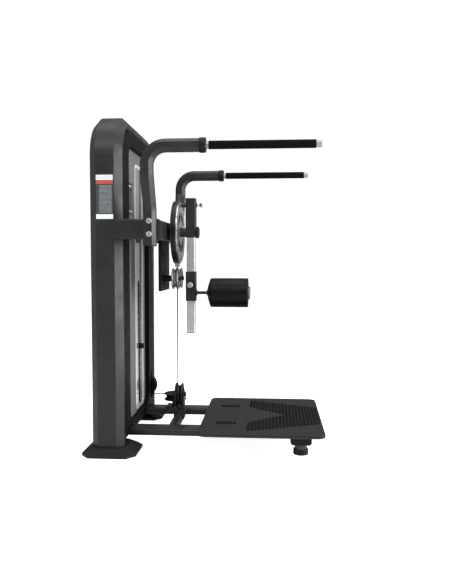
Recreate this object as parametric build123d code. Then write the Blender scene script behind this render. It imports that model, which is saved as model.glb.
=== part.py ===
from build123d import *
import math
import os

# Standing hip machine: a weight tower on the left, a low base with a standing platform on
# the right, and between them a swinging arm whose drive wheel lifts the stack by a cable.
# Frame: +Z up, +X from the tower to the platform, origin on the floor under the middle.
# All sizes are millimetres.

# ---- driving dimensions -------------------------------------------------------------
TOWER_HEIGHT = 1517.0
TOWER_HALF_WIDTH = 398.0      # outer face of each leg from the middle
TOWER_MID_X = -428.0          # middle of the tower from front to back
TOWER_DEPTH = 144.0
TOWER_CORNER = 190.0          # outer radius of the two top corners
LEG_THICKNESS = 50.0
LEG_BEVEL = 30.0
LEG_LIP = 6.0                 # small bevel on the inner edges of the leg
LEG_WALL = 3.0
LEG_BOTTOM = 36.0

BASE_TUBE_WIDTH = 94.0        # flat oval base tubes
BASE_TUBE_HEIGHT = 34.5
BASE_TUBE_ROUND = 12.0
BASE_TUBE_TOP = 83.5
BASE_TUBE_WALL = 3.0
RAIL_Y = 201.0
CROSS_MEMBER_WIDTH = 40.0
FOOT_PAD_HEIGHT = 26.0

PLATFORM_LEFT = -33.0
PLATFORM_RIGHT = 541.0
PLATFORM_HALF_WIDTH = 370.0
PLATFORM_CORNER = 40.0
PLATFORM_PLATE = 8.0
PLATFORM_MAT = 5.4

BEAM_Z = 1003.0               # middle of the upper beams and height of the pivot
BEAM_HEIGHT = 88.0
BEAM_WIDTH = 50.0
BEAM_ROUND = 7.0
BEAM_WALL = 3.0
BEAM_FRONT = -196.0           # front face of the upper cross beam

HANDLE_X = -223.0
HANDLE_FOOT = 71.0            # the handle's foot below the pivot
HANDLE_STRAIGHT = 77.0        # end of its straight stretch above the pivot
HANDLE_FLARE = 227.0          # where it is vertical again, above the pivot
HANDLE_RISE = 340.5           # grips above the pivot
HANDLE_SPREAD = 64.0          # grips outside the handle's foot
HANDLE_BOLT_LOW = 24.0        # bolts below and above the pivot
HANDLE_BOLT_HIGH = 32.0
HANDLE_TUBE = 54.0
HANDLE_BEVEL = 15.0
HANDLE_WALL = 3.0
HANDLE_BEND = 80.0
HANDLE_END = -3.0
GRIP_START = 37.0
GRIP_END = 478.0
GRIP_DIAMETER = 35.5
BAR_DIAMETER = 30.0
BAR_TIP = 24.0
COLLAR_DIAMETER = 63.4
COLLAR_LENGTH = 29.0

SHAFT_DIAMETER = 25.0
BEARING_WALL = 11.0           # radial size of a wheel bearing
BEARING_WIDTH = 12.0
BUSH_WALL = 3.0
SHAFT_CLEARANCE = 0.05        # radial clearance of bearings and bushes on the shaft
CABLE_X = -169.0              # plane of the wheel and of the cable in front of the tower
CABLE_DIAMETER = 6.0
WHEEL_RADIUS = 154.0
WHEEL_THICKNESS = 25.0
WHEEL_HUB_RADIUS = 30.0
WHEEL_GROOVE_DEPTH = 7.0
INDEX_RADIUS = 135.0          # circle of index holes
INDEX_HOLES = 24
INDEX_PLATE_RADIUS = 147.0
INDEX_PLATE_THICKNESS = 6.0

ARM_X = -100.0                # middle of the swinging arm
SLEEVE_SIZE = 50.0
SLEEVE_RISE = 168.0           # sleeve above and below the pivot
SLEEVE_DROP = 25.0
SLEEVE_WALL = 4.0
BOSS_DIAMETER = 44.5
ARM_TUBE_SIZE = 40.0
ARM_TUBE_WALL = 3.0
ARM_TUBE_DROP = 496.0         # tube below and above the pivot
ARM_TUBE_RISE = 115.0
CARRIAGE_SIZE = 50.0
CARRIAGE_DROP = 338.0         # carriage's lower end below the pivot
CARRIAGE_HEIGHT = 145.0
CLAMP_KNOB_DROP = 258.0
CARRIAGE_WALL = 2.5
KNOB_SCREW = 8.0
DRAIN_HOLE = 5.0

ROLLER_DROP = 298.0
ROLLER_LEFT = -16.0
ROLLER_LENGTH = 200.0
ROLLER_DIAMETER = 145.5
ROLLER_SHOULDER = 14.0
ROLLER_CORNER = 4.0
AXLE_DIAMETER = 16.0

PULLEY_PITCH = 50.0           # radius of the cable on the three big pulleys of the base
PULLEY_RIM = 10.0             # rim outside the cable's middle
PULLEY_WIDTH = 36.0
GUIDE_RADIUS = 51.0
GUIDE_WIDTH = 30.0
GUIDE_Y = 54.0
GUIDE_DROP = 227.0            # guide pulleys below the pivot
TOP_PULLEY_PITCH = 40.0
TOP_PULLEY_RIM = 8.0
TOP_PULLEY_WIDTH = 26.0
TOP_PULLEY_DROP = 78.0        # top pulleys below the tower's roof
PULLEY_BOLT = 12.0
RUN_CLEARANCE = 0.15          # radial clearance of a wheel on its bolt
LOW_CABLE_Z = 131.0           # height of the level run near the floor

STACK_X = -438.0
STACK_Y = 86.0
PLATE_COUNT = 16
LIFTED_COUNT = 5
PLATE_LENGTH = 270.0
PLATE_DEPTH = 90.0
PLATE_THICKNESS = 25.0
PLATE_GAP = 1.0
STACK_BOTTOM = 126.0
HEAD_THICKNESS = 30.0
ROD_DIAMETER = 25.0
ROD_SPACING = 210.0
ROD_DROP = 142.0              # guide rods' tops below the tower's roof
STEM_DIAMETER = 22.0
STACK_PIN_DIAMETER = 9.0
RISE_CABLE_INSET = 62.0       # the climbing cable from the leg's inner face

COVER_GAP = 4.0
COVER_SHEET = 3.0
COVER_BOTTOM = 60.0
COVER_SET_BACK = 2.0
RECESS_HALF_WIDTH = 228.0
RECESS_BOTTOM = 100.0
RECESS_DROP = 68.0            # top of the recess below the tower's roof
RECESS_DEPTH = 25.0
RECESS_CORNER = 60.0
WINDOW_WIDTH = 160.0
WINDOW_BOTTOM = 119.0
WINDOW_DROP = 135.0
WINDOW_CORNER = 20.0
SLOT_WIDTH = 44.0
SLOT_BOTTOM = 130.0
SLOT_TOP = 760.0

# ---- sizes that follow from the driving ones ----------------------------------------
LEG_FRONT = TOWER_MID_X + TOWER_DEPTH / 2
LEG_BACK = TOWER_MID_X - TOWER_DEPTH / 2
LEG_INNER = TOWER_HALF_WIDTH - LEG_THICKNESS
ROOF = TOWER_HEIGHT - LEG_THICKNESS
HANDLE_FOOT_Z = BEAM_Z - HANDLE_FOOT
HANDLE_FOOT_Y = TOWER_HALF_WIDTH + HANDLE_TUBE / 2
HANDLE_Y = HANDLE_FOOT_Y + HANDLE_SPREAD
HANDLE_Z = BEAM_Z + HANDLE_RISE
SLEEVE_TOP = BEAM_Z + SLEEVE_RISE
SLEEVE_BOTTOM = BEAM_Z - SLEEVE_DROP
ARM_TUBE_BOTTOM = BEAM_Z - ARM_TUBE_DROP
ARM_TUBE_TOP = BEAM_Z + ARM_TUBE_RISE
CARRIAGE_BOTTOM = BEAM_Z - CARRIAGE_DROP
CLAMP_KNOB_Z = BEAM_Z - CLAMP_KNOB_DROP
ROLLER_Z = BEAM_Z - ROLLER_DROP
BEARING_DIAMETER = SHAFT_DIAMETER + 2 * BEARING_WALL
BUSH_DIAMETER = SHAFT_DIAMETER + 2 * BUSH_WALL
SHAFT_BORE = SHAFT_DIAMETER + 2 * SHAFT_CLEARANCE
PULLEY_RADIUS = PULLEY_PITCH + PULLEY_RIM
TOP_PULLEY_RADIUS = TOP_PULLEY_PITCH + TOP_PULLEY_RIM
TOP_PULLEY_Z = ROOF - TOP_PULLEY_DROP
GUIDE_Z = BEAM_Z - GUIDE_DROP
ROD_TOP = ROOF - ROD_DROP
RISE_CABLE_Y = LEG_INNER - RISE_CABLE_INSET
RECESS_TOP = ROOF - RECESS_DROP
WINDOW_TOP = ROOF - WINDOW_DROP
BASE_TUBE_Z = BASE_TUBE_TOP - BASE_TUBE_HEIGHT / 2
FOOT_COLUMN_TOP = BASE_TUBE_TOP - BASE_TUBE_HEIGHT - 0.5
BEAM_BOTTOM = BEAM_Z - BEAM_HEIGHT / 2
BEAM_BACK = BEAM_FRONT - BEAM_WIDTH
CABLE_RADIUS = CABLE_DIAMETER / 2
WHEEL_FRONT = CABLE_X + WHEEL_THICKNESS / 2
WHEEL_BACK = CABLE_X - WHEEL_THICKNESS / 2
INDEX_FRONT = WHEEL_FRONT + INDEX_PLATE_THICKNESS
BOSS_LEFT = INDEX_FRONT + 0.5
BOSS_RIGHT = ARM_X + SLEEVE_SIZE / 2
CAP_LEFT = BOSS_RIGHT + 0.5
PLATFORM_TOP = BASE_TUBE_TOP + PLATFORM_PLATE + PLATFORM_MAT
FRONT_BEAM_X = PLATFORM_RIGHT - 109.0
LOW_PULLEY_Z = LOW_CABLE_Z + PULLEY_PITCH
COVER_HALF_WIDTH = LEG_INNER - COVER_GAP
COVER_TOP = ROOF - COVER_GAP
COVER_CORNER = TOWER_CORNER - LEG_THICKNESS - COVER_GAP
COVER_FRONT = LEG_FRONT - COVER_SET_BACK
RECESS_FLOOR = COVER_FRONT - RECESS_DEPTH
PLATE_PITCH = PLATE_THICKNESS + PLATE_GAP
RESTING_COUNT = PLATE_COUNT - LIFTED_COUNT
STACK_TOP = STACK_BOTTOM + PLATE_COUNT * PLATE_PITCH
STACK_PIN_Z = STACK_BOTTOM + RESTING_COUNT * PLATE_PITCH + PLATE_THICKNESS / 2
CLAMP_TOP = BEAM_Z - WHEEL_RADIUS + 6.0
CLAMP_BOTTOM = CLAMP_TOP - 22.0
TOP_CABLE_Z = TOP_PULLEY_Z + TOP_PULLEY_PITCH
HEAD_TOP = STACK_TOP + HEAD_THICKNESS
FITTING_TOP = HEAD_TOP + 62.0
SIDES = (-1, 1)

nodes = {}


def keep(name, *solids):
    """Store one named sub-part, as one solid or as a group of separate solids."""
    nodes[name] = list(solids)


def block(x0, x1, y0, y1, z0, z1):
    """A box given by its two opposite corners."""
    middle = Pos((x0 + x1) / 2, (y0 + y1) / 2, (z0 + z1) / 2)
    return middle * Box(x1 - x0, y1 - y0, z1 - z0)


def rod_x(x0, x1, y, z, diameter):
    """A round bar along X."""
    return Pos((x0 + x1) / 2, y, z) * Rot(0, 90, 0) * Cylinder(diameter / 2, x1 - x0)


def rod_y(x, y0, y1, z, diameter):
    """A round bar along Y."""
    return Pos(x, (y0 + y1) / 2, z) * Rot(90, 0, 0) * Cylinder(diameter / 2, y1 - y0)


def rod_z(x, y, z0, z1, diameter):
    """A round bar along Z."""
    return Pos(x, y, (z0 + z1) / 2) * Cylinder(diameter / 2, z1 - z0)


def tube_x(x0, x1, y, z, width, height, rounding, wall):
    """A hollow rounded tube along X, open at both ends."""
    outer = RectangleRounded(width, height, rounding)
    inner = RectangleRounded(width - 2 * wall, height - 2 * wall, rounding - wall)
    return Pos(0, y, z) * extrude(Plane.YZ.offset(x0) * (outer - inner), x1 - x0)


def tube_y(x, y0, y1, z, width, height, rounding, wall):
    """A hollow rounded tube along Y, open at both ends."""
    along = tube_x(y0, y1, 0, 0, width, height, rounding, wall)
    return Pos(x, 0, z) * Rot(0, 0, 90) * along


def arch_face(half_width, top, bottom, radius):
    """A door-shaped outline: square feet and round top corners."""
    middle = Pos(0, bottom)
    whole = middle * RectangleRounded(2 * half_width, 2 * (top - bottom), radius)
    upper = Pos(0, bottom + top) * Rectangle(4 * half_width, 2 * top)
    return whole & upper


def arch(half_width, top, bottom, radius, x0, x1):
    """The door-shaped outline drawn out along X."""
    face = arch_face(half_width, top, bottom, radius)
    return extrude(Plane.YZ.offset(x0) * face, x1 - x0)


def bevel_arch(solid, half_width, top, radius, x, size):
    """Bevel the edges of an arch that lie in the plane at x on its outer outline."""
    def on_outline(edge):
        middle = edge.position_at(0.5)
        side = abs(abs(middle.Y) - half_width) < 0.01
        roof = abs(middle.Z - top) < 0.01
        round_ = edge.geom_type == GeomType.CIRCLE and abs(edge.radius - radius) < 0.01
        return side or roof or round_
    face_edges = solid.edges().filter_by_position(Axis.X, x - 0.01, x + 0.01)
    return chamfer([e for e in face_edges if on_outline(e)], size)


def tower_shell(inset):
    """The bent tower tube as a solid, its outside moved in by inset."""
    half = TOWER_HALF_WIDTH - inset
    top = TOWER_HEIGHT - inset
    radius = TOWER_CORNER - inset
    front = LEG_FRONT - inset
    back = LEG_BACK + inset
    bottom = LEG_BOTTOM + inset
    solid = arch(half, top, bottom, radius, back, front)
    bevel = LEG_BEVEL - inset * (2 - math.sqrt(2))
    for x in (front, back):
        solid = bevel_arch(solid, half, top, radius, x, bevel)
    hole_half = LEG_INNER + inset
    hole_top = ROOF + inset
    hole_radius = TOWER_CORNER - LEG_THICKNESS + inset
    hole = arch(hole_half, hole_top, LEG_BOTTOM - 10, hole_radius, back - 1, front + 1)
    lip = (LEG_LIP + 1) - inset * (2 - math.sqrt(2))
    flare = arch(hole_half + lip, hole_top + lip, LEG_BOTTOM - 10, hole_radius + lip,
                 front - lip, front + lip)
    flare_back = arch(hole_half + lip, hole_top + lip, LEG_BOTTOM - 10, hole_radius + lip,
                      back - lip, back + lip)
    flare = bevel_arch(flare, hole_half + lip, hole_top + lip, hole_radius + lip,
                       front - lip, lip)
    flare_back = bevel_arch(flare_back, hole_half + lip, hole_top + lip, hole_radius + lip,
                            back + lip, lip)
    return solid - hole - flare - flare_back


def make_tower():
    """The inverted-U tower tube, hollow, with a closed foot under each leg."""
    keep("tower_frame", tower_shell(0) - tower_shell(LEG_WALL))


def make_base():
    """Flat oval tubes of the base, welded into a ladder under the platform."""
    tube = (BASE_TUBE_WIDTH, BASE_TUBE_HEIGHT, BASE_TUBE_ROUND, BASE_TUBE_WALL)
    base_x = TOWER_MID_X
    rail_left = base_x + BASE_TUBE_WIDTH / 2
    rail_right = FRONT_BEAM_X - BASE_TUBE_WIDTH / 2
    rails = [tube_x(rail_left, rail_right, side * RAIL_Y, BASE_TUBE_Z, *tube) for side in SIDES]
    keep("base_rails", *rails)
    rear = tube_y(base_x, -LEG_INNER, LEG_INNER, BASE_TUBE_Z, *tube)
    front = tube_y(FRONT_BEAM_X, -LEG_INNER, LEG_INNER, BASE_TUBE_Z, *tube)
    plug_face = RectangleRounded(BASE_TUBE_WIDTH, BASE_TUBE_HEIGHT, BASE_TUBE_ROUND)
    plugs = []
    for side in SIDES:
        plug = extrude(Plane.YZ * plug_face, 3)
        plug = fillet(plug.faces().sort_by(Axis.X)[-1].edges(), 2)
        turned = Rot(0, 0, 90 * side) * plug
        plugs.append(Pos(FRONT_BEAM_X, side * LEG_INNER, BASE_TUBE_Z) * turned)
    keep("end_caps", *plugs)
    inner = RAIL_Y - BASE_TUBE_WIDTH / 2
    cross = tube_y(CABLE_X, -inner, inner, BASE_TUBE_Z, CROSS_MEMBER_WIDTH,
                   BASE_TUBE_HEIGHT, 5, BASE_TUBE_WALL)
    keep("base_cross_tubes", rear, cross, front)


def foot_outline(x0, x1, y0, y1, cut_x, cut_y):
    """A rectangle with its four corners cut off."""
    points = [(x0 + cut_x, y0), (x1 - cut_x, y0), (x1, y0 + cut_y), (x1, y1 - cut_y),
              (x1 - cut_x, y1), (x0 + cut_x, y1), (x0, y1 - cut_y), (x0, y0 + cut_y)]
    return make_face(Polyline(*points, close=True))


def make_tower_feet():
    """A moulded rubber foot under each leg, wider than the leg and sloped to it."""
    feet = []
    for side in SIDES:
        y0, y1 = sorted((side * 447.0, side * 212.0))
        t0, t1 = sorted((side * 414.0, side * 250.0))
        lower = foot_outline(-541, -297, y0, y1, 36, 44)
        upper = foot_outline(-514, -342, t0, t1, 24, 20)
        skirt = extrude(lower, 12)
        slope = loft([Pos(0, 0, 12) * lower, Pos(0, 0, LEG_BOTTOM) * upper])
        feet.append(skirt + slope)
    keep("tower_feet", *feet)


def make_levelling_feet():
    """Screw feet under the ends of the front tube: a rubber pad and a fluted column."""
    for name, side in (("near_levelling_foot", -1), ("far_levelling_foot", 1)):
        y = side * 309.0
        pad = Pos(FRONT_BEAM_X, y, FOOT_PAD_HEIGHT / 2) * Cone(34, 33, FOOT_PAD_HEIGHT)
        pad = fillet(pad.edges().sort_by(Axis.Z)[0], 3)
        pad = fillet(pad.edges().sort_by(Axis.Z)[-1], 2)
        column = rod_z(FRONT_BEAM_X, y, FOOT_PAD_HEIGHT, FOOT_COLUMN_TOP, 54)
        keep(name, pad + column)


def make_platform():
    """A steel plate on the rails with a moulded rubber mat bonded on top."""
    length = PLATFORM_RIGHT - PLATFORM_LEFT
    middle = (PLATFORM_RIGHT + PLATFORM_LEFT) / 2
    width = 2 * PLATFORM_HALF_WIDTH
    outline = RectangleRounded(length, width, PLATFORM_CORNER)
    plate = Pos(middle, 0, BASE_TUBE_TOP) * extrude(outline, PLATFORM_PLATE)
    inner = RectangleRounded(length - 3, width - 3, PLATFORM_CORNER - 1.5)
    mat = Pos(middle, 0, BASE_TUBE_TOP + PLATFORM_PLATE) * extrude(inner, PLATFORM_MAT)
    mat = fillet(mat.faces().sort_by(Axis.Z)[-1].edges(), 2)
    keep("platform_plate", plate)
    keep("platform_mat", mat)


def make_upper_beams():
    """Two side beams from the tower legs and the cross beam that carries the pivot."""
    shell = tower_shell(0)
    beams = []
    for side in SIDES:
        y = side * (TOWER_HALF_WIDTH - BEAM_WIDTH / 2)
        beam = tube_x(LEG_FRONT - LEG_BEVEL, BEAM_FRONT, y, BEAM_Z, BEAM_WIDTH,
                      BEAM_HEIGHT, BEAM_ROUND, BEAM_WALL)
        beams.append(beam - shell)
    keep("side_beams", *beams)
    x = BEAM_FRONT - BEAM_WIDTH / 2
    inner = TOWER_HALF_WIDTH - BEAM_WIDTH
    cross = tube_y(x, -inner, inner, BEAM_Z, BEAM_WIDTH, BEAM_HEIGHT, BEAM_ROUND, BEAM_WALL)
    keep("upper_cross_beam", cross - rod_x(BEAM_BACK - 9, BEAM_FRONT + 9, 0, BEAM_Z, 52))
    for side in SIDES:
        y = side * (TOWER_HALF_WIDTH - BEAM_WIDTH / 2)
        face = RectangleRounded(BEAM_WIDTH, BEAM_HEIGHT, BEAM_ROUND)
        cap = extrude(Plane.YZ.offset(BEAM_FRONT) * face, 3)
        cap = fillet(cap.faces().sort_by(Axis.X)[-1].edges(), 2)
        nodes["end_caps"].append(Pos(0, y, BEAM_Z) * cap)


def make_pivot():
    """A flanged housing through the cross beam, the fixed shaft and its end cap."""
    housing = rod_x(BEAM_BACK - 6, BEAM_FRONT, 0, BEAM_Z, 52)
    housing += rod_x(BEAM_FRONT, WHEEL_BACK - 2, 0, BEAM_Z, 104)
    housing -= rod_x(BEAM_BACK - 9, WHEEL_BACK + 9, 0, BEAM_Z, SHAFT_DIAMETER)
    keep("pivot_housing", housing)
    keep("pivot_shaft", rod_x(BEAM_BACK - 6, CAP_LEFT + 11, 0, BEAM_Z, SHAFT_DIAMETER))
    cap = rod_x(CAP_LEFT, CAP_LEFT + 15, 0, BEAM_Z, 57)
    cap = fillet(cap.edges().sort_by(Axis.X)[-1], 7)
    cap = fillet(cap.edges().sort_by(Axis.X)[0], 2)
    keep("pivot_cap", cap - rod_x(CAP_LEFT - 1, CAP_LEFT + 11, 0, BEAM_Z, SHAFT_DIAMETER))


def wheel_profile(points, x):
    """Turn a profile of (radius, x offset) points about the X axis through the pivot."""
    wire = Polyline(*[(x + dx, radius) for radius, dx in points], close=True)
    turned = revolve(make_face(wire), Axis.X)
    return Pos(0, 0, BEAM_Z) * turned


def make_drive_wheel():
    """The grooved wheel that winds the cable, its index plate, bearings and clamp."""
    half = WHEEL_THICKNESS / 2
    groove = WHEEL_RADIUS - WHEEL_GROOVE_DEPTH
    bore = BEARING_DIAMETER / 2
    outline = [(bore, -half), (WHEEL_HUB_RADIUS, -half), (WHEEL_HUB_RADIUS + 2, -5),
               (WHEEL_RADIUS - 20, -5), (WHEEL_RADIUS - 18, -half),
               (WHEEL_RADIUS, -half), (WHEEL_RADIUS, -CABLE_RADIUS - 2.5),
               (groove, -CABLE_RADIUS - 0.4), (groove, CABLE_RADIUS + 0.4),
               (WHEEL_RADIUS, CABLE_RADIUS + 2.5), (WHEEL_RADIUS, half),
               (WHEEL_HUB_RADIUS + 2, half),
               (WHEEL_HUB_RADIUS + 2, half + INDEX_PLATE_THICKNESS), (bore, half + INDEX_PLATE_THICKNESS)]
    wheel = wheel_profile(outline, CABLE_X)
    wheel -= block(CABLE_X - 10, CABLE_X + 10, -12, 12, CLAMP_BOTTOM, CLAMP_TOP)
    openings = []
    for turn in (50, 130, 230, 310):
        openings.append(wheel_opening(turn))
    for opening in openings:
        wheel -= opening
    keep("drive_wheel", wheel)
    plate = rod_x(WHEEL_FRONT, INDEX_FRONT, 0, BEAM_Z, 2 * INDEX_PLATE_RADIUS)
    plate = fillet(plate.edges().sort_by(Axis.X)[-1], 1)
    plate -= rod_x(WHEEL_FRONT - 1, INDEX_FRONT + 1, 0, BEAM_Z, 2 * WHEEL_HUB_RADIUS + 4.2)
    for turn in range(INDEX_HOLES):
        angle = math.radians(90 + turn * 360 / INDEX_HOLES)
        y = INDEX_RADIUS * math.cos(angle)
        z = BEAM_Z + INDEX_RADIUS * math.sin(angle)
        plate -= rod_x(WHEEL_FRONT - 1, INDEX_FRONT + 1, y, z, 11.2)
        wheel_hole = rod_x(WHEEL_FRONT - 8, WHEEL_FRONT + 1, y, z, 11.2)
        nodes["drive_wheel"][0] -= wheel_hole
    for opening in openings:
        plate -= opening
    keep("index_plate", plate)
    bearings = []
    for x in (WHEEL_BACK + 0.2, INDEX_FRONT - BEARING_WIDTH - 0.2):
        ring = rod_x(x, x + BEARING_WIDTH, 0, BEAM_Z, BEARING_DIAMETER)
        bearings.append(ring - rod_x(x - 1, x + BEARING_WIDTH + 1, 0, BEAM_Z, SHAFT_BORE))
    keep("wheel_bearings", *bearings)
    clamp = block(CABLE_X - 10, CABLE_X + 10, -12, 12, CLAMP_BOTTOM, CLAMP_TOP)
    keep("cable_clamp", clamp)


def wheel_opening(turn):
    """A bean-shaped lightening hole through the wheel and index plate."""
    middle_radius = 82.0
    width = 40.0
    sweep_angle = 42.0
    ring = Circle(middle_radius + width / 2) - Circle(middle_radius - width / 2)
    reach = 400
    a0 = math.radians(turn - sweep_angle / 2)
    a1 = math.radians(turn + sweep_angle / 2)
    wedge = Polyline((0, 0), (reach * math.cos(a0), reach * math.sin(a0)),
                     (reach * math.cos(a1), reach * math.sin(a1)), close=True)
    bean = ring & make_face(wedge)
    for a in (a0, a1):
        at = Pos(middle_radius * math.cos(a), middle_radius * math.sin(a))
        bean += at * Circle(width / 2)
    drawn = extrude(Plane.YZ.offset(WHEEL_BACK - 2) * bean, 60)
    return Pos(0, 0, BEAM_Z) * drawn


def make_arm():
    """The swinging arm: boss and sleeve, bushes, plated tube, plug and index pin."""
    half = SLEEVE_SIZE / 2
    face = RectangleRounded(SLEEVE_SIZE, SLEEVE_SIZE, 5)
    inner = RectangleRounded(SLEEVE_SIZE - 2 * SLEEVE_WALL, SLEEVE_SIZE - 2 * SLEEVE_WALL, 2)
    height = SLEEVE_TOP - SLEEVE_BOTTOM
    sleeve = Pos(ARM_X, 0, SLEEVE_BOTTOM) * extrude(face, height)
    sleeve = fillet(sleeve.faces().sort_by(Axis.Z)[-1].edges(), 3)
    sleeve -= Pos(ARM_X, 0, SLEEVE_BOTTOM) * extrude(inner, height - 5)
    sleeve += rod_x(BOSS_LEFT, BOSS_RIGHT, 0, BEAM_Z, BOSS_DIAMETER)
    pin_z = BEAM_Z + INDEX_RADIUS
    sleeve += rod_x(INDEX_FRONT + 3, ARM_X + half + 5, 0, pin_z, 23)
    sleeve -= rod_x(BOSS_LEFT - 1, BOSS_RIGHT + 1, 0, BEAM_Z, BUSH_DIAMETER)
    sleeve -= rod_x(INDEX_FRONT, ARM_X + half + 9, 0, pin_z, 10.2)
    keep("arm_sleeve", sleeve)
    bushes = []
    for x0 in (BOSS_LEFT, BOSS_RIGHT - 20):
        bush = rod_x(x0, x0 + 20, 0, BEAM_Z, BUSH_DIAMETER)
        bushes.append(bush - rod_x(x0 - 1, x0 + 21, 0, BEAM_Z, SHAFT_BORE))
    keep("arm_bushes", *bushes)
    keep("arm_tube", arm_tube_solid())
    plug = Pos(ARM_X, 0, ARM_TUBE_BOTTOM - 3) * extrude(
        RectangleRounded(ARM_TUBE_SIZE, ARM_TUBE_SIZE, 4), 3)
    keep("arm_tube_plug", fillet(plug.faces().sort_by(Axis.Z)[0].edges(), 1.5))
    tip = INDEX_FRONT + 0.6
    knob_left = ARM_X + half + 15.5
    pin = rod_x(tip, knob_left + 2, 0, pin_z, 10)
    flare = Pos(knob_left + 7, 0, pin_z) * Rot(0, 90, 0) * Cone(6, 13, 10)
    knob = flare + rod_x(knob_left + 12, knob_left + 15, 0, pin_z, 26)
    keep("index_pin", pin + knob)


def arm_tube_solid():
    """The plated square tube, cut round the boss, with a small drain hole near its lower end."""
    size = ARM_TUBE_SIZE
    face = RectangleRounded(size, size, 4)
    inner = RectangleRounded(size - 2 * ARM_TUBE_WALL, size - 2 * ARM_TUBE_WALL, 1.5)
    length = ARM_TUBE_TOP - ARM_TUBE_BOTTOM
    tube = Pos(ARM_X, 0, ARM_TUBE_BOTTOM) * extrude(face - inner, length)
    tube -= rod_x(ARM_X - size, ARM_X + size, 0, BEAM_Z, BOSS_DIAMETER)
    drain_z = ARM_TUBE_BOTTOM + 22
    tube -= rod_y(ARM_X, -size / 2 - 1, -size / 2 + ARM_TUBE_WALL + 1, drain_z, DRAIN_HOLE)
    return tube


def make_carriage():
    """The carriage that slides on the arm tube, its liners, clamp knob and roller axle."""
    top = CARRIAGE_BOTTOM + CARRIAGE_HEIGHT
    size = CARRIAGE_SIZE
    face = RectangleRounded(size, size, 5) - RectangleRounded(size - 5, size - 5, 3)
    body = Pos(ARM_X, 0, CARRIAGE_BOTTOM) * extrude(face, CARRIAGE_HEIGHT)
    housing = rod_y(ARM_X, -size / 2 - 12, -size / 2 + 1, CLAMP_KNOB_Z, 20)
    body += housing
    body -= rod_y(ARM_X, -size / 2 - 20, -size / 2 + 5, CLAMP_KNOB_Z, KNOB_SCREW + 0.4)
    keep("carriage", body)
    liner_face = RectangleRounded(size - 5, size - 5, 3)
    liner_face -= RectangleRounded(ARM_TUBE_SIZE + 0.6, ARM_TUBE_SIZE + 0.6, 4.3)
    liners = []
    for z0 in (CARRIAGE_BOTTOM, top - 25):
        liners.append(Pos(ARM_X, 0, z0) * extrude(liner_face, 25))
    keep("carriage_liners", *liners)
    pin_tip = -ARM_TUBE_SIZE / 2 - 0.5
    pin = rod_y(ARM_X, -size / 2 - 24, pin_tip, CLAMP_KNOB_Z, KNOB_SCREW)
    knob = rod_y(ARM_X, -size / 2 - 34, -size / 2 - 20.5, CLAMP_KNOB_Z, 29)
    knob = fillet(knob.edges().sort_by(Axis.Y)[0], 5)
    keep("clamp_knob", pin + knob)
    axle_left = ARM_X + size / 2
    axle = rod_x(axle_left, ROLLER_LEFT + ROLLER_LENGTH - 4, 0, ROLLER_Z, AXLE_DIAMETER)
    axle += rod_x(axle_left, axle_left + 5, 0, ROLLER_Z, 30)
    axle += rod_x(ROLLER_LEFT - 7, ROLLER_LEFT - 3, 0, ROLLER_Z, 26)
    keep("roller_axle", axle)


def make_roller():
    """The foam roller with its plastic core ends, which turn on the axle."""
    right = ROLLER_LEFT + ROLLER_LENGTH
    radius = ROLLER_DIAMETER / 2
    shoulder = ROLLER_SHOULDER
    core = 21.0
    line = [(ROLLER_LEFT, core), (ROLLER_LEFT + 1, 30), (ROLLER_LEFT + shoulder, radius - 5),
            (ROLLER_LEFT + shoulder + 5, radius), (right - ROLLER_CORNER, radius),
            (right, radius - ROLLER_CORNER),
            (right, core)]
    foam = revolve(make_face(Polyline(*line, close=True)), Axis.X)
    keep("roller_pad", Pos(0, 0, ROLLER_Z) * foam)
    left_end = rod_x(ROLLER_LEFT - 2, ROLLER_LEFT + 26, 0, ROLLER_Z, 2 * core)
    left_end -= rod_x(ROLLER_LEFT - 3, ROLLER_LEFT + 27, 0, ROLLER_Z, AXLE_DIAMETER + 0.2)
    dome = rod_x(right, right + 10, 0, ROLLER_Z, 66)
    dome = fillet(dome.edges().sort_by(Axis.X)[-1], 8)
    right_end = dome + rod_x(right - 26, right + 1, 0, ROLLER_Z, 2 * core)
    right_end -= rod_x(right - 27, right - 3, 0, ROLLER_Z, AXLE_DIAMETER + 0.2)
    keep("roller_core_ends", left_end, right_end)


def pulley(radius, pitch, width):
    """A grooved pulley about Z, centred at the origin, bored for its bolt."""
    half = width / 2
    groove = pitch - CABLE_RADIUS - 0.3
    bore = PULLEY_BOLT / 2 + RUN_CLEARANCE
    side = [(bore, -half), (18, -half), (20, -half + 5), (groove - 9, -half + 5),
            (groove - 7, -half), (radius - 1.5, -half), (radius, -half + 1.5),
            (radius, -half + 4), (groove, -CABLE_RADIUS - 0.4)]
    points = side + [(r, -z) for r, z in reversed(side)]
    wire = Polyline(*[(r, 0, z) for r, z in points], close=True)
    return revolve(make_face(wire), Axis.Z)


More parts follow.
